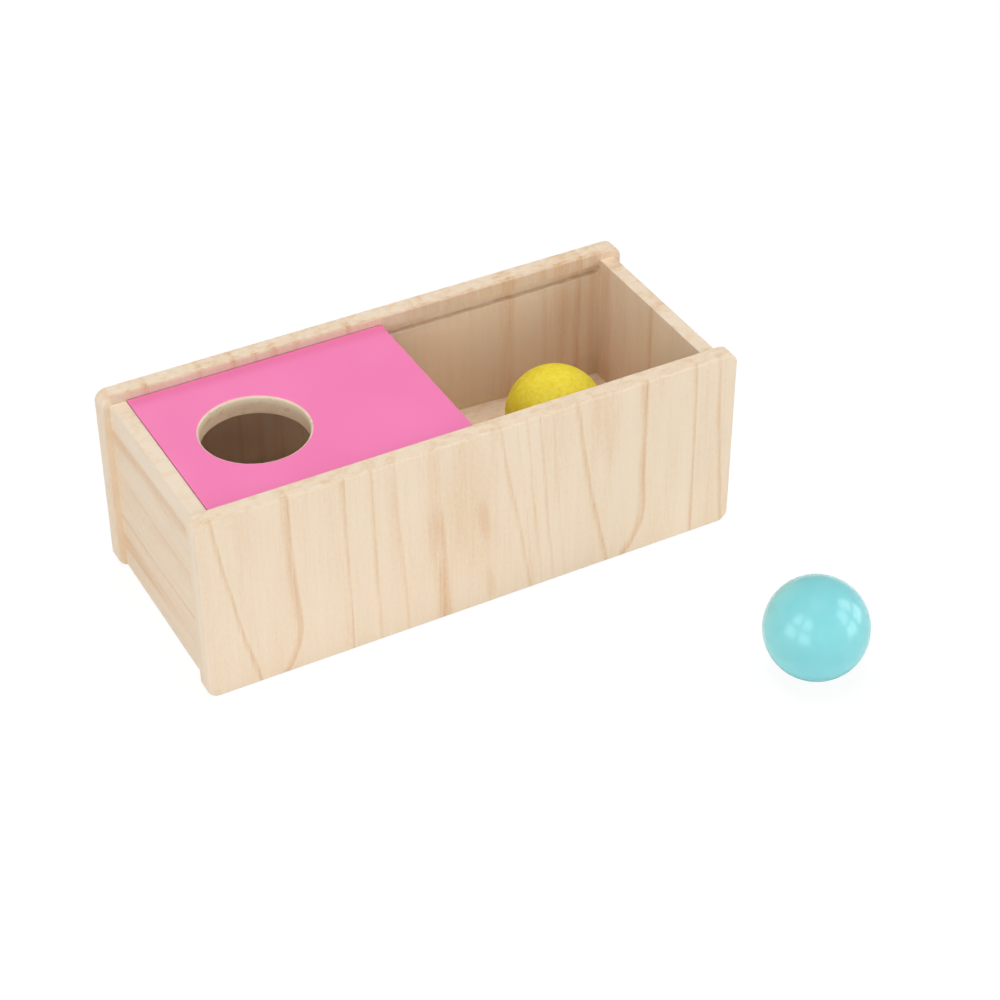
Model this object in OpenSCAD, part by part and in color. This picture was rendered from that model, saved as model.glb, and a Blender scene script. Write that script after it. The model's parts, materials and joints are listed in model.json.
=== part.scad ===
// Object permanence box: a long wooden box with a sloping floor, a half-length
// sliding lid with a round ball hole, and two balls.
// X runs along the box, Y runs from front to rear, Z is up.
// The origin is the middle of the ground that the set covers, box and loose ball together.

/* [Box] */
// Length of the two long panels
box_l = 283; // [260:1:320]
// Width over the two long panels
box_w = 119; // [106:1:150]
// Height of the two long panels
box_h = 101; // [92:0.5:120]
// Thickness of the long panels
side_t = 9.5; // [8.5:0.25:12]
// Radius of the long panels' corners
corner_r = 6; // [3:0.5:9]
// Radius that eases the long panels' edges
side_ease = 1.2; // [0.6:0.1:1.8]

/* [End panels] */
// Thickness of the end panels
end_t = 8.5; // [7.5:0.25:12]
// Distance from the long panels' ends in to the end panels
end_inset = 4; // [1:0.5:7]
// Drop from the long panels' tops to the end panels' tops
end_drop = 4.5; // [3:0.25:8]
// Radius that eases the end panels' outer edges
end_ease = 1.6; // [0.5:0.1:2.5]
// Radius that eases the end panels' inner edges
end_inner_ease = 0.3; // [0.2:0.1:0.8]

/* [Lid] */
// Length of the lid
lid_l = 133.5; // [100:0.5:170]
// Thickness of the lid
lid_t = 10; // [8:0.1:12]
// Drop from the long panels' tops to the lid's top
lid_drop = 4; // [2.5:0.1:6]
// Radius that eases the lid's edges
lid_ease = 0.4; // [0.3:0.1:1]
// Radius of the ball hole
hole_r = 26; // [25.5:0.1:32]
// Distance from the lid's left edge to the middle of the ball hole
hole_inset = 43.5; // [36:0.5:65]
// Radius that rounds the upper rim of the ball hole
rim_r = 1.6; // [0.8:0.1:2.4]

/* [Lid grooves] */
// Height of the lid's tongues above its underside
tongue_up = 2; // [0.5:0.1:3]
// Height of the grooves that the tongues run in
groove_h = 5; // [3.5:0.1:6]
// Depth of the groove in the long panel
groove_d = 3.5; // [2:0.1:5]
// Running gap between the lid and what it slides in
slide_gap = 0.15; // [0.1:0.01:0.3]
// Gap between the lid's body and each long panel
side_gap = 0.4; // [0.2:0.05:0.8]

/* [Ramp] */
// Thickness of the ramp
ramp_t = 5; // [4:0.25:8]
// Fall of the ramp in degrees
ramp_angle = 2.8; // [1.5:0.1:4]
// Gap between the lid and a ball that rolls out past the edge of the hole
ball_headroom = 0.8; // [0.5:0.1:3]
// Depth of the ramp's housing in each long panel
housing_d = 4; // [3:0.25:6]

/* [Dowels] */
// Radius of a dowel
dowel_r = 2.5; // [2:0.1:3]
// Length of a dowel
dowel_l = 20; // [16:0.5:24]
// Depth of a dowel in the long panel
dowel_in = 6; // [5:0.25:6.5]
// Chamfer at a dowel's ends
dowel_chamfer = 0.8; // [0.4:0.1:1.2]
// Room for glue past a dowel's ends
glue_end = 0.5; // [0.3:0.1:1]
// Room for glue round a dowel
glue_fit = 0.05; // [0.02:0.01:0.1]

/* [Balls] */
// Radius of the two balls
ball_r = 25; // [22:0.1:25.1]
// Gap between the yellow ball and the ramp
ball_gap = 0.15; // [0.1:0.01:0.3]
// Distance from the right end panel to the middle of the yellow ball
yellow_back = 57; // [28:0.5:95]
// Distance from the box's centre line to the middle of the yellow ball
yellow_side = 5.3; // [-15:0.1:15]
// Distance from the box's middle to the cyan ball, along the box
cyan_along = 115; // [0:1:150]
// Distance from the front panel out to the middle of the cyan ball
cyan_out = 115; // [30:1:200]

/* [Hidden] */

// Facets of a full circle, on large and on small rounds
round_fn = 96;
small_fn = 32;
// Overrun of every cut
cut_over = 1;

// Half sizes of the box, outside and inside
half_l = box_l / 2;
half_w = box_w / 2;
inner_half_w = half_w - side_t;
inner_half_l = half_l - end_inset - end_t;
end_h = box_h - end_drop;
end_mid_x = inner_half_l + end_t / 2;

// The lid, its tongues and the grooves that they run in
lid_top = box_h - lid_drop;
lid_under = lid_top - lid_t;
lid_left = slide_gap - inner_half_l;
lid_half_w = inner_half_w - side_gap;
tongue_h = groove_h - 2 * slide_gap;
tongue_reach = groove_d - side_gap;
groove_z = lid_under + tongue_up + tongue_h / 2;
lid_mid_x = lid_left + lid_l / 2;
hole_x = lid_left + hole_inset;
hole_edge_x = hole_x + hole_r;

// The ramp's upper face is as high as lets a ball on it clear the lid at the hole's right edge
ramp_at_edge = lid_under - ball_headroom - ball_r - (ball_r + ball_gap) / cos(ramp_angle);
function ramp_top(x) = ramp_at_edge - (x - hole_edge_x) * tan(ramp_angle);
ramp_upright_t = ramp_t / cos(ramp_angle);

// Shares of the free heights below and above the ramp at which dowels sit
dowel_low_share = 0.5;
dowel_high_shares = [0.26, 0.8];
function dowel_heights(end_x) =
    let (
        top = ramp_top(end_x),
        under = top - ramp_upright_t,
        groove_under = groove_z - groove_h / 2
    )
    concat(
        [under * dowel_low_share],
        [for (share = dowel_high_shares) top + (groove_under - top) * share]
    );

// Places of the balls in the box's own frame, whose origin is under the box's middle
yellow_x = inner_half_l - yellow_back;
yellow_z = ramp_top(yellow_x) + (ball_r + ball_gap) / cos(ramp_angle);
cyan_y = -half_w - cyan_out;

// Distance from the set's middle back to the box's middle
box_back = -(half_w + cyan_y - ball_r) / 2;

wood = [0.93, 0.86, 0.77];
end_wood = [0.88, 0.81, 0.73];
ramp_wood = [0.82, 0.72, 0.60];
dowel_wood = [0.80, 0.68, 0.52];

// Puts what is drawn in the box's own frame in its place in the set
module in_set() {
    translate([0, box_back, 0])
        children();
}

// Rectangle about the origin whose corners have a small radius
module eased_rectangle(w, h, ease) {
    square([w - 2 * ease, h], center = true);
    square([w, h - 2 * ease], center = true);
    for (x = [-1, 1], y = [-1, 1])
        translate([x * (w / 2 - ease), y * (h / 2 - ease)])
            circle(r = ease, $fn = small_fn);
}

// Thick disc about the Y axis whose rims are eased, for a board's round corner
module eased_disc(r, t, ease) {
    rotate([90, 0, 0])
        rotate_extrude($fn = round_fn)
            intersection() {
                eased_rectangle(2 * r, t, ease);
                translate([0, -t])
                    square([r + cut_over, 2 * t]);
            }
}

// Board that stands on the ground in the XZ plane, centred on Y, with round
// corners and with every edge eased all the way round
module eased_board(l, h, t, corner, ease) {
    translate([0, 0, h / 2])
        rotate([90, 0, 90])
            linear_extrude(l - 2 * corner, center = true)
                eased_rectangle(t, h, ease);
    translate([0, 0, corner])
        linear_extrude(h - 2 * corner)
            eased_rectangle(l, t, ease);
    for (x = [-1, 1], z = [corner, h - corner])
        translate([x * (l / 2 - corner), 0, z])
            eased_disc(corner, t, ease);
}

// Outline of the slot that a round cutter leaves. The middles of its round ends are l apart.
module slot_outline(l, h) {
    square([l, h], center = true);
    for (x = [-1, 1])
        translate([x * l / 2, 0])
            circle(d = h, $fn = small_fn);
}

// Draws an outline in the XZ plane and gives it a width across the box
module across_box(w) {
    rotate([90, 0, 0])
        linear_extrude(w, center = true)
            children();
}

// Lays an outline along the middle of the ramp's thickness, in the XZ plane
module along_ramp() {
    translate([0, ramp_top(0) - ramp_upright_t / 2])
        rotate(-ramp_angle)
            children();
}

// Puts a copy at each dowel of one corner: side is -1 at the front and 1 at the
// rear, end is -1 on the left and 1 on the right
module at_dowels(side, end) {
    for (z = dowel_heights(end * inner_half_l))
        translate([end * end_mid_x, side * (inner_half_w + dowel_in - dowel_l / 2), z])
            rotate([90, 0, 0])
                children();
}

// Dowel about its middle, with chamfered ends
module dowel() {
    rotate_extrude($fn = small_fn)
        for (up = [0, 1])
            mirror([0, up])
                polygon([
                    [0, 0],
                    [dowel_r, 0],
                    [dowel_r, dowel_l / 2 - dowel_chamfer],
                    [dowel_r - dowel_chamfer, dowel_l / 2],
                    [0, dowel_l / 2]
                ]);
}

// Blind bores for all the dowels, with room for glue
module dowel_bores() {
    for (side = [-1, 1], end = [-1, 1])
        at_dowels(side, end)
            cylinder(
                h = dowel_l + 2 * glue_end,
                r = dowel_r + glue_fit,
                center = true,
                $fn = small_fn
            );
}

// The slots in both long panels: the lid's grooves, whose round ends stop at the end
// panels, and the ramp's sloping housings
module panel_slots() {
    translate([0, 0, groove_z])
        across_box(2 * (inner_half_w + groove_d))
            slot_outline(2 * inner_half_l - groove_h, groove_h);
    across_box(2 * (inner_half_w + housing_d))
        along_ramp()
            slot_outline(2 * inner_half_l / cos(ramp_angle), ramp_t);
}

// Long panel at the front (side = -1) or at the rear (side = 1)
module long_panel(side) {
    difference() {
        translate([0, side * (half_w - side_t / 2), 0])
            eased_board(box_l, box_h, side_t, corner_r, side_ease);
        panel_slots();
        dowel_bores();
    }
}

// Upright section of the left end panel about its middle. Its outer corners, on the left,
// have a larger radius than its inner ones.
module end_outline() {
    intersection() {
        eased_rectangle(end_t, end_h, end_inner_ease);
        translate([end_t / 2, 0])
            eased_rectangle(2 * end_t, end_h, end_ease);
    }
}

// End panel between the long panels, on the left (end = -1) or on the right (end = 1)
module end_panel(end) {
    difference() {
        translate([end * end_mid_x, 0, end_h / 2])
            across_box(2 * inner_half_w)
                mirror([end + 1, 0])
                    end_outline();
        dowel_bores();
    }
}

// The lid's board, with its edges eased all the way round
module lid_board() {
    intersection() {
        translate([lid_left, 0, lid_under + lid_t / 2])
            rotate([90, 0, 90])
                linear_extrude(lid_l)
                    eased_rectangle(2 * lid_half_w, lid_t, lid_ease);
        translate([lid_mid_x, 0, lid_under + lid_t / 2])
            across_box(box_w)
                eased_rectangle(lid_l, lid_t, lid_ease);
    }
}

// The lid's tongues, one on each side, with ends as round as the grooves' ends
module lid_tongues() {
    translate([lid_mid_x, 0, groove_z])
        across_box(2 * (lid_half_w + tongue_reach))
            slot_outline(lid_l - groove_h, tongue_h);
}

// Cutter for a round hole through a board from z = 0 to z = t, which rounds its
// lower and its upper rim by these radii
module rimmed_hole(r, t, rims) {
    rotate_extrude($fn = round_fn) {
        translate([0, -cut_over])
            square([r, t + 2 * cut_over]);
        for (up = [0, 1])
            translate([0, up * t])
                mirror([0, up])
                    difference() {
                        translate([0, -cut_over])
                            square([r + rims[up], rims[up] + cut_over]);
                        translate([r + rims[up], rims[up]])
                            circle(r = rims[up], $fn = round_fn);
                    }
    }
}

module front_panel() {
    color(wood)
        in_set()
            long_panel(-1);
}

module rear_panel() {
    color(wood)
        in_set()
            long_panel(1);
}

module left_end_panel() {
    color(end_wood)
        in_set()
            end_panel(-1);
}

module right_end_panel() {
    color(end_wood)
        in_set()
            end_panel(1);
}

// Sloping floor that the ball rolls down, housed in both long panels
module ramp() {
    color(ramp_wood)
        in_set()
            across_box(2 * (inner_half_w + housing_d))
                intersection() {
                    along_ramp()
                        square([box_l, ramp_t], center = true);
                    translate([-inner_half_l, 0])
                        square([2 * inner_half_l, box_h]);
                }
}

// Half-length lid that slides in the grooves
module sliding_lid() {
    color("hotpink")
        in_set()
            difference() {
                union() {
                    lid_board();
                    lid_tongues();
                }
                translate([hole_x, 0, lid_under])
                    rimmed_hole(hole_r, lid_t, [lid_ease, rim_r]);
            }
}

module front_left_dowels() {
    color(dowel_wood)
        in_set()
            at_dowels(-1, -1)
                dowel();
}

module front_right_dowels() {
    color(dowel_wood)
        in_set()
            at_dowels(-1, 1)
                dowel();
}

module rear_left_dowels() {
    color(dowel_wood)
        in_set()
            at_dowels(1, -1)
                dowel();
}

module rear_right_dowels() {
    color(dowel_wood)
        in_set()
            at_dowels(1, 1)
                dowel();
}

// Ball on the ramp, in the open half of the box
module yellow_ball() {
    color("gold")
        in_set()
            translate([yellow_x, -yellow_side, yellow_z])
                sphere(r = ball_r, $fn = round_fn);
}

// Ball that lies on the ground in front of the box
module cyan_ball() {
    color("paleturquoise")
        in_set()
            translate([cyan_along, cyan_y, ball_r])
                sphere(r = ball_r, $fn = round_fn);
}

front_panel();
rear_panel();
left_end_panel();
right_end_panel();
ramp();
sliding_lid();
front_left_dowels();
front_right_dowels();
rear_left_dowels();
rear_right_dowels();
yellow_ball();
cyan_ball();
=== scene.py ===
import json
from math import cos, pi, radians, sin

import bpy
from mathutils import Matrix, Vector


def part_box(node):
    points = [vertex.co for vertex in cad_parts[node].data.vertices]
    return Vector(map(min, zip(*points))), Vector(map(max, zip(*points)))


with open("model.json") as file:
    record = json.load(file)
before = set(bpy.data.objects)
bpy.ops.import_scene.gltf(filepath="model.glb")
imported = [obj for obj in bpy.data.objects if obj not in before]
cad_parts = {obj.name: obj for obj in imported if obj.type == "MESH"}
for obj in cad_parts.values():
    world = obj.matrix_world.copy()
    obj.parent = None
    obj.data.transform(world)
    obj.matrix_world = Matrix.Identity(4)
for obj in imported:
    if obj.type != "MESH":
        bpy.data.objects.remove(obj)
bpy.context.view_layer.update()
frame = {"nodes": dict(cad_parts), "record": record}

MM_PER_M = 1000


def corners(node):
    """A node's lowest and highest corners at rest, in mm."""
    low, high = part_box(node)
    return low * MM_PER_M, high * MM_PER_M


# Places on the box, in mm along the axes of the CAD
front_low, front_high = corners("front_panel")
rear_low = corners("rear_panel")[0]
end_low, end_high = corners("right_end_panel")
lid_low, lid_high = corners("sliding_lid")
LEFT_END, FRONT_FACE = front_low.x, front_low.y
FRONT_INNER, REAR_INNER = front_high.y, rear_low.y
END_INNER, END_OUTER = end_low.x, end_high.x
BOARD_TOP, END_BOARD_TOP = front_high.z, end_high.z
LID_EDGE, LID_UNDER, LID_TOP = lid_high.x, lid_low.z, lid_high.z
# Above this height, the long boards' inside is the lip over the lid's groove
LIP_FOOT = LID_UNDER + 5
# Along x, the painted shade of the half that the lid covers gives way to the open half's look from here to
# here
COVERED_TO, OPEN_FROM = LID_EDGE - 33, LID_EDGE + 7


# Colours and sockets


def shade(red, green, blue):
    """The colour that renders as this 0 to 255 value, as the four numbers of a socket."""
    parts = [c / 255 for c in (red, green, blue)]
    return (*[p / 12.92 if p <= 0.04045 else ((p + 0.055) / 1.055) ** 2.4 for p in parts], 1)


def connect(tree, value, socket):
    """Sets a socket to a number, a colour or a vector, or links a field or another node's socket to it."""
    if isinstance(value, Field):
        value = value.socket
    if isinstance(value, bpy.types.NodeSocket):
        tree.links.new(value, socket)
    else:
        socket.default_value = value


class Field:
    """A number that changes over the surface. Sums of fields add their Math nodes."""

    def __init__(self, finish, socket):
        self.finish, self.socket = finish, socket

    def math(self, operation, *values):
        node = self.finish.add("ShaderNodeMath", {"operation": operation}, dict(enumerate(values)))
        return Field(self.finish, node.outputs[0])

    def __add__(self, other):
        return self.math("ADD", self, other)

    def __sub__(self, other):
        return self.math("SUBTRACT", self, other)

    def __rsub__(self, other):
        return self.math("SUBTRACT", other, self)

    def __mul__(self, other):
        return self.math("MULTIPLY", self, other)

    def __truediv__(self, other):
        return self.math("DIVIDE", self, other)

    def __pow__(self, other):
        return self.math("POWER", self, other)

    def __abs__(self):
        return self.math("ABSOLUTE", self)

    __radd__ = __add__
    __rmul__ = __mul__

    def larger(self, other):
        return self.math("MAXIMUM", self, other)

    def fraction(self):
        return self.math("FRACT", self)

    def rise(self, start, end):
        """0 up to start, 1 from end on, with a soft turn at both."""
        values = {"Value": self, "From Min": start, "From Max": end, "To Min": 0, "To Max": 1}
        settings = {"interpolation_type": "SMOOTHSTEP"}
        return Field(self.finish, self.finish.add("ShaderNodeMapRange", settings, values).outputs[0])

    def fall(self, start, end):
        """1 up to start, 0 from end on, with a soft turn at both."""
        return 1 - self.rise(start, end)


class Finish:
    """One material. Its places are in millimetres, from the object's own coordinates."""

    def __init__(self, name, moved=(0, 0, 0)):
        """moved shifts the noise, so that no two materials have the same blots."""
        self.material = bpy.data.materials.new(name)
        self.material.use_nodes = True
        self.tree = self.material.node_tree
        self.tree.nodes.clear()
        place = self.add("ShaderNodeTexCoord").outputs["Object"]
        in_mm = self.vector("SCALE", place, scale=MM_PER_M)
        self.place = self.vector("ADD", in_mm, moved)
        self.x, self.y, self.z = self.parts(in_mm)

    def add(self, kind, settings=None, values=None):
        """Adds a node: its settings first, then the values or links of its sockets."""
        node = self.tree.nodes.new(kind)
        for name, value in (settings or {}).items():
            if name == "stops":
                stops = node.color_ramp.elements
                for i, (position, colour) in enumerate(value):
                    stop = stops[i] if i < len(stops) else stops.new(position)
                    stop.position, stop.color = position, colour
            else:
                setattr(node, name, value)
        for name, value in (values or {}).items():
            connect(self.tree, value, node.inputs[name])
        return node

    def vector(self, operation, a, b=None, scale=None):
        values = {0: a}
        if b is not None:
            values[1] = b
        if scale is not None:
            values["Scale"] = scale
        return self.add("ShaderNodeVectorMath", {"operation": operation}, values).outputs[0]

    def parts(self, vector):
        split = self.add("ShaderNodeSeparateXYZ", {}, {"Vector": vector})
        return [Field(self, out) for out in split.outputs]

    def normal(self, axis):
        """How far the surface faces along one axis, 0 for x to 2 for z."""
        return self.parts(self.add("ShaderNodeTexCoord").outputs["Normal"])[axis]

    def noise(self, size, detail=2.0, roughness=0.5):
        """Noise from 0 to 1, whose blots are about this many millimetres along x, y and z."""
        place = self.vector("MULTIPLY", self.place, [1 / s for s in size])
        values = {"Vector": place, "Scale": 1, "Detail": detail, "Roughness": roughness}
        return Field(self, self.add("ShaderNodeTexNoise", {}, values).outputs[0])

    def ramp(self, factor, stops):
        return self.add("ShaderNodeValToRGB", {"stops": stops}, {0: factor}).outputs[0]

    def mix(self, factor, a, b, blend="MIX"):
        settings = {"data_type": "RGBA", "blend_type": blend}
        return self.add("ShaderNodeMix", settings, {0: factor, 6: a, 7: b}).outputs[2]

    def bump(self, height, depth_mm):
        """A normal that follows a height from 0 to 1, as deep as this."""
        values = {"Height": height, "Distance": depth_mm / MM_PER_M, "Strength": 1}
        return self.add("ShaderNodeBump", {}, values).outputs[0]

    def surface(self, **values):
        """The shader, with socket names in snake case."""
        sockets = {name.replace("_", " ").title(): value for name, value in values.items()}
        if "Ior" in sockets:
            sockets["IOR"] = sockets.pop("Ior")
        shader = self.add("ShaderNodeBsdfPrincipled", {}, sockets)
        return self.finish_with(shader)

    def finish_with(self, shader):
        """Links the shader to the material's output."""
        out = self.add("ShaderNodeOutputMaterial")
        self.tree.links.new(shader.outputs[0], out.inputs[0])
        return self.material


# Wood

cream = shade(241, 224, 203)
pale = shade(238, 218, 193)
tan = shade(232, 205, 175)
late_wood = shade(225, 190, 153)
knot_brown = shade(213, 165, 118)
# Painted shade for the eased edges
painted_edge_shade = shade(60, 48, 40)
# Painted light beside the lid's edge
painted_lid_bounce = shade(255, 229, 197)
# Painted shade on the inside that the lid covers and low down in the box
painted_shade_brown = shade(149, 133, 122)
# Painted casts of the shade inside the box: greyer on all inner faces, cooler lower down
painted_inside_cast = shade(226, 217, 223)
painted_deep_cast = shade(240, 219, 236)
cool_cast = shade(253, 254, 255)
warm_cast = shade(255, 252, 246)

# The colour of wood by its darkness, from 0 to 1, and the darkness of wood that has no figure
WOOD_STOPS = [(0.0, cream), (0.28, pale), (0.55, tan), (0.8, late_wood), (1.0, knot_brown)]
PLAIN_WOOD = 0.22
# Noise and flecks are counted from their means, so that they don't darken the wood as a whole
NOISE_MEAN = 0.5
FLECK_MEAN = 0.26
# How far the broad noise bends the growth lines, in mm
RING_BEND = 46
# How much painted shade darkens the eased edges, against the extra light that they catch
EDGE_SHADE_SHARE = 0.09
# A growth line fades on its left by this share of the rate on its right
SOFT_SIDE = 0.4
# Height down a board below which the feet of its growth lines bend, in mm
FOOT_FROM = 72


def streak(across, along, start, lean, curl, foot, width, strength):
    """One dark growth line. It starts at this place across, where along is 0, leans by lean for each mm and
    curls by curl for each mm squared. A foot bends it back below FOOT_FROM. It ends sharply on its right."""
    centre = start + along * lean + along * along * curl
    if foot:
        below = (along - FOOT_FROM).larger(0)
        centre = centre - below * below * foot
    away = across - centre
    return away.larger(away * -SOFT_SIDE).fall(0, width) * strength


def streaks(across, along, lines):
    """The sum of growth lines, each given by its start, lean, curl, foot, width and strength."""
    return sum(streak(across, along, *line) for line in lines)


def blot(across, along, at_across, at_along, half_width, half_length, strength):
    """A soft oval patch of darker wood, long along the grain."""
    x, y = (across - at_across) / half_width, (along - at_along) / half_length
    return (x * x + y * y).fall(0, 1) * strength


def painted_shade_under_lid(f):
    """How much painted shade, a grey brown, darkens the inside that the lid at rest covers: most on the
    walls, least on the lip. A little of it lies low down all along the box.
    """
    height = 0.16 + f.z.rise(38, 60) * 0.28 - f.z.rise(LID_TOP - 1, LID_TOP + 0.5) * 0.3
    return f.x.fall(COVERED_TO, OPEN_FROM) * height + f.z.fall(38, 42) * 0.06


def painted_light_beside_lid(f):
    """1 on the inside beside the lid's edge, where painted light, as if bounced off the lid, makes the wood
    lighter and warmer.
    """
    away = f.x - LID_EDGE
    return away.rise(-5, 9) * away.fall(25, 63) * f.z.fall(LID_UNDER - 3, LID_UNDER + 3)


def between_ends(f):
    """1 between the two end boards."""
    return abs(f.x).fall(END_OUTER - 1.5, END_OUTER - 0.5)


def wood(name, grain, moved, rings, figure, inner, ease_axis=None, tint=0.0):
    """Pale lacquered solid wood. grain is the axis that its fibres follow. rings holds the mean distance of
    its growth lines and their strength. figure is a function that adds this board's own lines, and inner one
    that is 1 on the faces inside the box. ease_axis is the axis across the board's eased faces, and tint
    darkens it all."""
    f = Finish(name, moved)

    def fibres(across, along, detail=2.0, roughness=0.5):
        size = [across] * 3
        size["xyz".index(grain)] = along
        return f.noise(size, detail, roughness)

    broad = fibres(19, 120)
    soft = fibres(4.2, 60, 3)
    fine = fibres(0.85, 26, 3, 0.6)
    stipple = fibres(1.3, 2.6, 2, 0.6)
    dashes = fibres(0.5, 3.6, 1).rise(0.62, 0.78)
    flecks = f.noise((5.5, 3.6, 5.5), 2, 0.55).rise(0.36, 0.74)
    # A growth line comes on slowly and ends at once, like the teeth of a saw
    first, second = [getattr(f, axis) for axis in "xyz" if axis != grain]
    gap, ring_strength = rings
    saw = ((first * 0.8 + second * 0.6 + (broad - NOISE_MEAN) * RING_BEND) / gap).fraction()
    late = saw.rise(0.4, 0.92) * saw.fall(0.92, 1.0)

    density = PLAIN_WOOD + tint
    for layer, weight in ((broad, 0.42), (soft, 0.34), (fine, 0.34), (stipple, 0.4)):
        density = density + (layer - NOISE_MEAN) * weight
    density = density + dashes * 0.14 + late * ring_strength + figure(f, soft, fine)
    on_top = f.normal(2).rise(0.6, 0.95)
    density = density + (flecks - FLECK_MEAN) * on_top * 0.4
    colour = f.ramp(density, WOOD_STOPS)

    cast = f.ramp(fibres(2.2, 4.5, 3, 0.6), [(0.3, cool_cast), (0.7, warm_cast)])
    colour = f.mix(1, colour, cast, "MULTIPLY")
    inside = inner(f)
    # Inside the box, painted shade and light: greyer and cooler casts, brown shade under the lid, light
    # beside its edge
    depth = f.z.fall(45, 88) * f.z.rise(32, 40)
    colour = f.mix(inside * 0.07, colour, painted_inside_cast)
    colour = f.mix(inside * depth * 0.12, colour, painted_deep_cast)
    colour = f.mix(inside * painted_shade_under_lid(f), colour, painted_shade_brown)
    colour = f.mix(inside * painted_light_beside_lid(f) * 0.5, colour, painted_lid_bounce)
    if ease_axis:
        # This is 1 where an eased edge faces halfway between the face and the board's rim; painted shade
        # goes there
        facing = f.normal("xyz".index(ease_axis))
        level = facing * facing
        edge = level * (1 - level) * 4
        colour = f.mix(edge * EDGE_SHADE_SHARE, colour, painted_edge_shade)
    return f.surface(
        base_color=colour,
        roughness=0.52 + (fine - NOISE_MEAN) * 0.2,
        normal=f.bump(fine * 0.6 + dashes * -0.4, 0.02),
        coat_weight=0.08,
        coat_roughness=0.35,
        ior=1.45,
    )


def front_figure(f, soft, fine):
    """The long slanting lines, the two tongues of figure and the tan patch on the front board's face, and
    painted light on its left end near the face.
    """
    across = f.x - LEFT_END + (soft - NOISE_MEAN) * 3
    down = BOARD_TOP - f.z
    lines = [
        (8, 0.13, 0.0006, 0, 1.1, 0.4),
        (45, 0, 0.0007, 0.0147, 1.8, 0.48),
        (73, 0.014, 0, 0, 0.9, 0.4),
        (87, 0.03, 0, 0, 1.0, 0.3),
        (98, 0.06, 0, 0, 1.3, 0.22),
        (153, 0.175, 0, 0, 1.2, 0.32),
        (162, 0.1, 0, 0, 0.9, 0.14),
        (167.5, 0.085, 0, 0, 0.8, 0.26),
        (174, 0.085, 0, 0, 0.9, 0.3),
        (181, 0.08, 0, 0, 0.9, 0.16),
        (195, 0.11, 0.0007, 0, 1.3, 0.38),
        (232, 0, 0.0002, 0.015, 2.2, 0.52),
        (260, 0.01, 0, 0, 1.1, 0.44),
        (273, 0.03, 0.0003, 0, 1.1, 0.38),
    ]
    broad_line = streak(across, down, 118.5, 0.06, 0, 0, 3.8, 0.5) * (0.25 + down.rise(26, 48) * 0.75)
    total = (broad_line + streaks(across, down, lines)) * (0.3 + fine * 1.2)
    # Place across, place down, half width, half length and strength
    patches = [
        (135, 30, 19, 60, 0.22),
        (147, 85, 14, 45, 0.03),
        (144, 50, 4.5, 16, 0.19),
        (143, 90, 4, 15, 0.2),
        (30, 12, 11, 36, 0.16),
        (214, 18, 10, 30, 0.12),
        (270, 60, 18, 70, 0.08),
    ]
    slanted = across + (down - 50) * -0.12
    for patch in patches:
        total = total + blot(slanted, down, *patch)
    on_face = f.y.fall(FRONT_FACE + 0.4, FRONT_FACE + 3)
    # Painted light: the left end is lighter near the face
    painted_light_left_rim = f.y.fall(FRONT_FACE + 2.5, FRONT_FACE + 5.5) * f.x.fall(LEFT_END + 0.1, LEFT_END + 1.5)
    return total * (0.15 + on_face * 0.85) - painted_light_left_rim * 0.25


def rear_figure(f, soft, fine):
    """Upright stripes, closest together by the right end, painted shade on the lip and the inner top edge,
    and a darker strip by the right end board.
    """
    across = f.x + (soft - NOISE_MEAN) * 3
    down = BOARD_TOP - f.z
    lines = [
        (23.5, 0, 0, 0, 1.2, 0.18),
        (29, 0, 0, 0, 1.4, 0.2),
        (36.5, 0.01, 0, 0, 1.2, 0.12),
        (42.5, 0, 0, 0, 1.4, 0.18),
        (56, -0.01, 0, 0, 2.2, 0.12),
        (77, -0.03, 0, 0, 5, 0.34),
        (97, 0.02, 0, 0, 2.2, 0.1),
        (108.5, 0, 0, 0, 3.6, 0.3),
        (118, -0.02, 0, 0, 1.8, 0.4),
        (125.5, 0, 0, 0, 1.6, 0.2),
        (-12, 0.03, 0, 0, 1.6, 0.3),
        (-40, 0, 0, 0, 1.6, 0.3),
        (-52, 0.01, 0, 0, 2.4, 0.36),
        (-62, 0, 0, 0, 2, 0.3),
        (-73, 0, 0, 0, 1.6, 0.36),
        (-90, -0.03, 0, 0, 1.8, 0.3),
        (-118, 0.02, 0, 0, 2.0, 0.3),
    ]
    total = streaks(across, down, lines) * (0.45 + fine * 0.9)
    # Painted shade on the lip over the groove and along the inner top edge; a darker strip runs up by the
    # right end board
    lip_height = f.z.rise(LIP_FOOT, LIP_FOOT + 1) - f.z.rise(BOARD_TOP - 1.4, BOARD_TOP - 0.4)
    lip = lip_height * f.x.rise(-20, 10) * f.y.fall(REAR_INNER + 1.5, REAR_INNER + 4)
    inner_edge = f.z.rise(BOARD_TOP - 1.6, BOARD_TOP - 0.6) * f.y.fall(REAR_INNER + 0.6, REAR_INNER + 2.2)
    corner = f.x.rise(END_INNER - 8, END_INNER) * f.x.fall(END_INNER + 0.4, END_INNER + 0.8)
    light_part = blot(across, down, 44, 50, 26, 70, 0.16)
    return total + lip * 0.2 + inner_edge * 0.3 + corner * 0.16 - light_part


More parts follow.
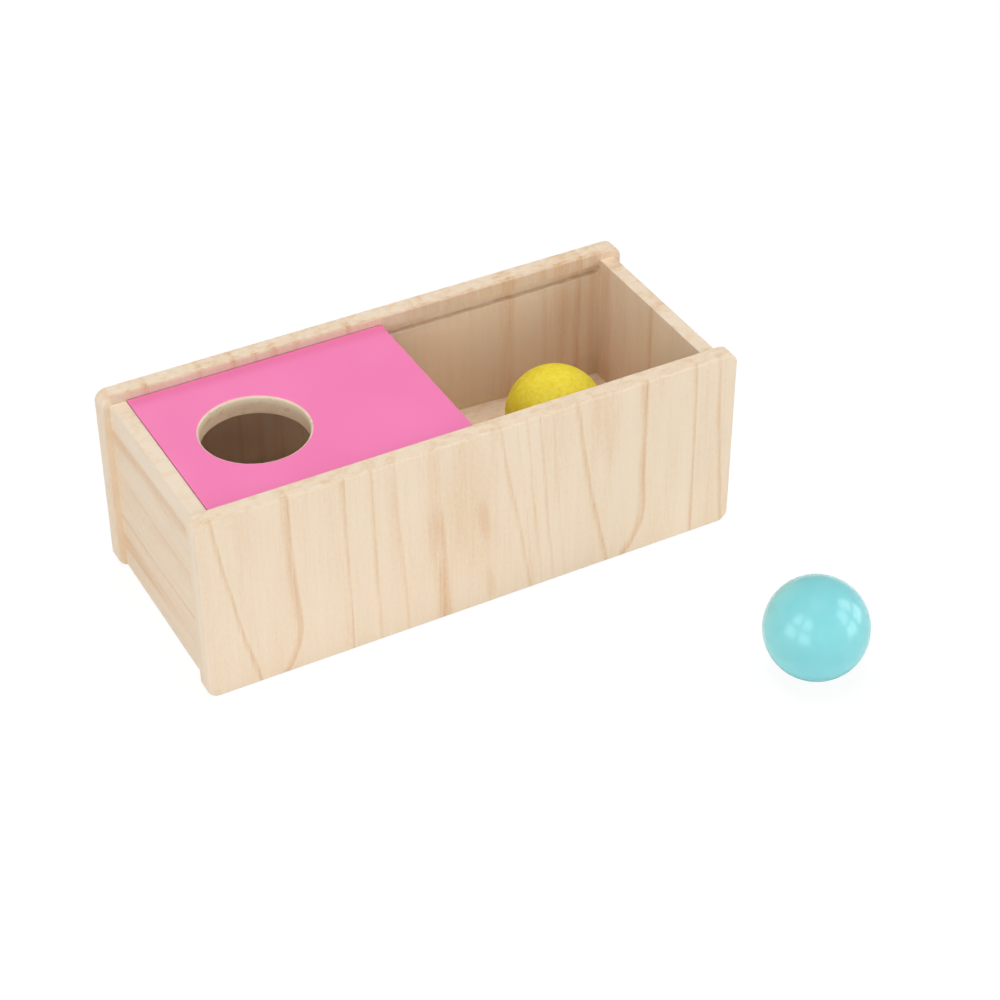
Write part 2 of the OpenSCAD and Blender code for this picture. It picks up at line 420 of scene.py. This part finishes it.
def left_figure(f, soft, fine):
    """Two brown lines along the board, a darker band by its foot and the painted shadow of the front board
    on its end beside it.
    """
    across = f.z + (soft - NOISE_MEAN) * 5
    along = REAR_INNER - f.y
    lines = [(81.5, 0.04, 0, 0, 4, 0.44), (32, 0.015, 0, 0, 1.5, 0.36), (60, -0.03, 0, 0, 2.4, 0.12)]
    total = streaks(across, along, lines)
    total = total + blot(across, along, 17, 20, 7, 70, 0.3) + blot(across, along, 55, 50, 24, 90, 0.1)
    top_band = f.z.rise(83, 88)
    # Painted shadow of the front board's protruding end
    painted_shadow_end = f.y.fall(FRONT_INNER + 1, FRONT_INNER + 6)
    return (total - top_band * 0.18 + painted_shadow_end * 0.3) * (0.5 + fine)


def right_figure(f, soft, fine):
    """Upright stripes, with one thin dark line in front of the middle."""
    across = REAR_INNER - f.y + (soft - NOISE_MEAN) * 4
    down = END_BOARD_TOP - f.z
    lines = [
        (9, 0.02, 0, 0, 5, 0.36),
        (50.5, 0, 0, 0, 1.8, 0.36),
        (71, -0.02, 0, 0, 1.6, 0.12),
        (98, -0.02, 0, 0, 2.4, 0.24),
    ]
    total = streaks(across, down, lines) * (0.5 + fine)
    return total + down.rise(30, 60) * 0.12 - across.rise(48, 66) * 0.14


def ramp_figure(f, soft, fine):
    """Narrow stripes along the slope, which is darker at its lower end."""
    stripes = f.noise((150, 2.4, 40), 2)
    return (stripes - NOISE_MEAN) * 0.7 + (fine - NOISE_MEAN) * 0.2 + f.x.rise(96, 126) * 0.24


finishes = {
    "front_panel": wood(
        "front board wood",
        grain="z",
        moved=(0, 0, 0),
        rings=(23, 0.05),
        figure=front_figure,
        inner=lambda f: f.y.rise(FRONT_INNER - 1, FRONT_INNER - 0.4) * between_ends(f),
        ease_axis="y",
    ),
    "rear_panel": wood(
        "rear board wood",
        grain="z",
        moved=(310, 40, 75),
        rings=(17, 0.1),
        figure=rear_figure,
        inner=lambda f: f.y.fall(REAR_INNER + 0.4, REAR_INNER + 1) * between_ends(f),
        ease_axis="y",
    ),
    "left_end_panel": wood(
        "left end board wood",
        grain="y",
        moved=(20, 500, 33),
        rings=(29, 0.08),
        figure=left_figure,
        inner=lambda f: f.x.rise(-END_INNER - 0.6, -END_INNER - 0.1),
        ease_axis="x",
    ),
    "right_end_panel": wood(
        "right end board wood",
        grain="z",
        moved=(700, 90, 11),
        rings=(15, 0.1),
        figure=right_figure,
        inner=lambda f: f.x.fall(END_INNER + 0.1, END_INNER + 0.6),
        ease_axis="x",
    ),
    "ramp": wood(
        "ramp wood",
        grain="x",
        moved=(90, 260, 410),
        rings=(13, 0.06),
        figure=ramp_figure,
        inner=lambda f: f.z.rise(0, 1),
        tint=0.14,
    ),
}


# Dowels


def dowel_finish():
    """Bare hardwood, browner than the boards."""
    f = Finish("dowel wood")
    fine = f.noise((0.4, 9, 0.4), 3)
    colour = f.ramp(fine, [(0.2, shade(214, 178, 134)), (0.8, shade(184, 140, 96))])
    return f.surface(base_color=colour, roughness=0.6 + fine * 0.1, normal=f.bump(fine, 0.03))


# Lid


def lid_finish():
    """Satin pink paint on the top and the edges, bare wood in the ball hole and underneath."""
    f = Finish("pink lid paint")
    hole = next(mount for mount in frame["record"]["mounts"] if mount["name"] == "ball_hole")
    hole_x, hole_y, hole_z = [place * MM_PER_M for place in hole["pos_m"]]
    # The hole's straight wall ends here, where its rounded upper rim starts
    rim_foot = hole_z + hole["dims"]["length_mm"] / 2

    cloud = f.noise((45, 45, 45), 2)
    paint = f.mix(cloud.rise(0.3, 0.7), shade(246, 128, 182), shade(249, 132, 186))
    # Painted shade: the paint is deeper pink along the rear edge, under the rear board's lip
    painted_shade_rear_edge = f.y.rise(REAR_INNER - 10, REAR_INNER - 2)
    paint = f.mix(painted_shade_rear_edge, paint, shade(236, 118, 170))

    fine = f.noise((24, 0.8, 0.8), 3, 0.6)
    soft = f.noise((60, 4, 4), 3)
    bare = f.ramp(fine * 0.5 + soft * 0.5, [(0.3, pale), (0.55, tan), (0.75, late_wood)])
    # Painted light: the hole's wall is lightest just below its rounded rim, where the light comes in
    lit = f.z.rise(rim_foot - 3.4, rim_foot - 0.4) * (1 - f.z.rise(rim_foot, rim_foot + 0.8) * 0.6)
    bare = f.mix(lit * 0.75, bare, shade(253, 242, 214))
    marks = f.noise((4.5, 4.5, 2.6), 2, 0.6).rise(0.56, 0.74)
    bare = f.mix(marks * 0.5, bare, shade(196, 166, 136))

    # The ring where the paint ends lies a little in front of the hole's middle
    ring_y = hole_y - 0.25
    beyond = ((f.x - hole_x) ** 2 + (f.y - ring_y) ** 2) ** 0.5 - hole["dims"]["r_mm"]
    bare_part = beyond.fall(0.75, 1.1).larger(f.z.fall(LID_UNDER + 0.2, LID_UNDER + 0.5))
    colour = f.mix(bare_part, paint, bare)
    orange_peel = f.noise((1.1, 1.1, 1.1), 2)
    return f.surface(
        base_color=colour,
        roughness=0.4 + bare_part * 0.15,
        normal=f.bump(orange_peel * 0.35 * (1 - bare_part) + fine * bare_part, 0.02),
        coat_weight=0.1 * (1 - bare_part),
        coat_roughness=0.3,
        ior=1.45,
    )


# Balls


def yellow_finish():
    """Matt yellow stain: the wood takes it unevenly, so that lighter and darker blots show."""
    f = Finish("yellow stained wood")
    blots = f.noise((3.4, 2.6, 2.6), 3, 0.6)
    fibres = f.noise((1.0, 4.0, 1.0), 3, 0.6)
    cloud = f.noise((16, 16, 16), 2)
    tone = blots * 0.42 + fibres * 0.36 + cloud * 0.22
    stops = [
        (0.36, shade(253, 237, 88)),
        (0.46, shade(250, 229, 66)),
        (0.54, shade(245, 220, 49)),
        (0.64, shade(234, 205, 32)),
    ]
    return f.surface(
        base_color=f.ramp(tone, stops),
        roughness=0.62 + (fibres - NOISE_MEAN) * 0.2,
        normal=f.bump(fibres * 0.5 + blots * 0.5, 0.08),
        ior=1.45,
    )


def cyan_finish():
    """High gloss pale cyan, with the faint waviness of a sprayed coat."""
    f = Finish("cyan gloss")
    cloud = f.noise((22, 22, 22), 2)
    waves = f.noise((3.0, 3.0, 3.0), 2)
    return f.surface(
        base_color=f.mix(cloud.rise(0.3, 0.7), shade(131, 213, 219), shade(137, 218, 222)),
        roughness=0.16 + waves * 0.06,
        normal=f.bump(waves, 0.015),
        coat_weight=0.2,
        coat_roughness=0.12,
        ior=1.45,
    )


finishes["sliding_lid"] = lid_finish()
finishes["yellow_ball"] = yellow_finish()
finishes["cyan_ball"] = cyan_finish()
dowels = dowel_finish()
for name, node in frame["nodes"].items():
    for slot in node.material_slots:
        slot.material = finishes.get(name, dowels)


# Ground

FLOOR_SIZE = 16
# The floor lies a hair below the boards' lower edges, so that they don't share a plane
FLOOR_DROP = 0.0001
# How much of the floor's own light the camera sees in place of the lamps' light on it
FLOOR_LIFT = 0.88


def floor_finish():
    """A white floor that keeps the shadows. The camera sees it lifted towards white."""
    f = Finish("white floor")
    grain = f.noise((3, 3, 3), 2)
    white = f.mix(grain, shade(243, 243, 243), shade(247, 247, 247))
    paper = f.add("ShaderNodeBsdfDiffuse", {}, {"Color": white})
    glow = f.add("ShaderNodeEmission", {}, {"Color": (1, 1, 1, 1), "Strength": 1.04})
    seen = Field(f, f.add("ShaderNodeLightPath").outputs["Is Camera Ray"]) * FLOOR_LIFT
    both = f.add("ShaderNodeMixShader", {}, {0: seen, 1: paper.outputs[0], 2: glow.outputs[0]})
    return f.finish_with(both)


bpy.ops.object.select_all(action="DESELECT")
bpy.ops.mesh.primitive_plane_add(size=FLOOR_SIZE, location=(0, 0, -FLOOR_DROP))
floor = bpy.context.object
floor.name = "floor"
floor.data.materials.append(floor_finish())


# Lights

# How brightly the white surroundings light the set, and how brightly they show in the gloss
SKY_LIGHT, SKY_MIRRORED = 0.08, 0.4
# Distances in m, and the points that the lamps and the windows are turned to
LAMP_AWAY, WINDOW_AWAY = 2.5, 1.5
SET_MIDDLE = Vector((0, 0.05, 0.05))
ball_low, ball_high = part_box("cyan_ball")
GLOSS_BALL = (ball_low + ball_high) / 2

world = bpy.data.worlds.new("studio")
bpy.context.scene.world = world
world.use_nodes = True
sky = world.node_tree.nodes
links = world.node_tree.links
sky.clear()
background = sky.new("ShaderNodeBackground")
background.inputs["Color"].default_value = (1, 1, 1, 1)
path = sky.new("ShaderNodeLightPath")
mirrored = sky.new("ShaderNodeMapRange")
mirrored.inputs["To Min"].default_value = SKY_LIGHT
mirrored.inputs["To Max"].default_value = SKY_MIRRORED
brighter = sky.new("ShaderNodeMath")
brighter.operation = "MAXIMUM"
sky_out = sky.new("ShaderNodeOutputWorld")
links.new(path.outputs["Is Glossy Ray"], mirrored.inputs["Value"])
links.new(path.outputs["Is Camera Ray"], brighter.inputs[0])
links.new(mirrored.outputs[0], brighter.inputs[1])
links.new(brighter.outputs[0], background.inputs["Strength"])
links.new(background.outputs[0], sky_out.inputs[0])


def towards(azimuth, elevation):
    """The direction from the set to a lamp. Azimuth 0 is in front, 90 on the right."""
    a, e = radians(azimuth), radians(elevation)
    return Vector((sin(a) * cos(e), -cos(a) * cos(e), sin(e)))


def lamp(name, place, aim, size, radiance):
    """A rectangular lamp of that radiance, turned to what it is aimed at."""
    data = bpy.data.lights.new(name, "AREA")
    data.shape = "RECTANGLE"
    data.size, data.size_y = size
    data.energy = radiance * size[0] * size[1] * pi
    made = bpy.data.objects.new(name, data)
    bpy.context.scene.collection.objects.link(made)
    made.location = place
    made.rotation_euler = (aim - place).to_track_quat("-Z", "Y").to_euler()
    return made


def softbox(name, azimuth, elevation, size, radiance):
    """A soft lamp around the set, which lights it without a mirror image."""
    place = SET_MIDDLE + towards(azimuth, elevation) * LAMP_AWAY
    made = lamp(name, place, SET_MIDDLE, size, radiance)
    made.visible_glossy = False


def window(name, azimuth, pane, bar, rows, radiance):
    """The four panes of an upright window, which only shows as its reflection in the gloss. pane and bar are
    widths, and each row has its lowest and highest z."""
    away = towards(azimuth, 0)
    side = Vector((-away.y, away.x, 0))
    for low, high in rows:
        for way in (-1, 1):
            place = GLOSS_BALL + away * WINDOW_AWAY + side * way * (pane + bar) / 2
            place.z = (low + high) / 2
            made = lamp(name, place, place - away, (pane, high - low), radiance)
            made.visible_diffuse = False


softbox("overhead", 0, 90, (1.6, 1.6), 5.25)
softbox("front left", -35, 15, (1.8, 1.6), 2.1)
softbox("front right", 35, 15, (1.8, 1.6), 2.35)
softbox("left", -90, 15, (1.6, 1.6), 1.85)
softbox("rear", 180, 15, (1.6, 1.6), 2.3)
softbox("right", 90, 15, (1.6, 1.6), 1.4)
window("left window", -78, 0.7, 0.21, [(0.02, 0.66), (0.9, 2.05)], 2.7)
window("right window", 63, 0.74, 0.2, [(0.02, 0.6), (0.82, 2.05)], 3.1)


# Camera

# Fitted to the photo: the camera's place in m, and which way its right and its top point
CAMERA_PLACE = (-0.43371, -0.80480, 0.77723)
CAMERA_RIGHT = Vector((0.87775, -0.47911, 0))
CAMERA_UP = Vector((0.29283, 0.53648, 0.79148))

camera_data = bpy.data.cameras.new("camera")
camera_data.lens = 90
camera_data.sensor_width = 36
camera = bpy.data.objects.new("camera", camera_data)
bpy.context.scene.collection.objects.link(camera)
turn = Matrix((CAMERA_RIGHT, CAMERA_UP, CAMERA_RIGHT.cross(CAMERA_UP))).transposed().to_4x4()
camera.matrix_world = Matrix.Translation(CAMERA_PLACE) @ turn
bpy.context.scene.camera = camera
bpy.context.scene.view_settings.view_transform = "Standard"
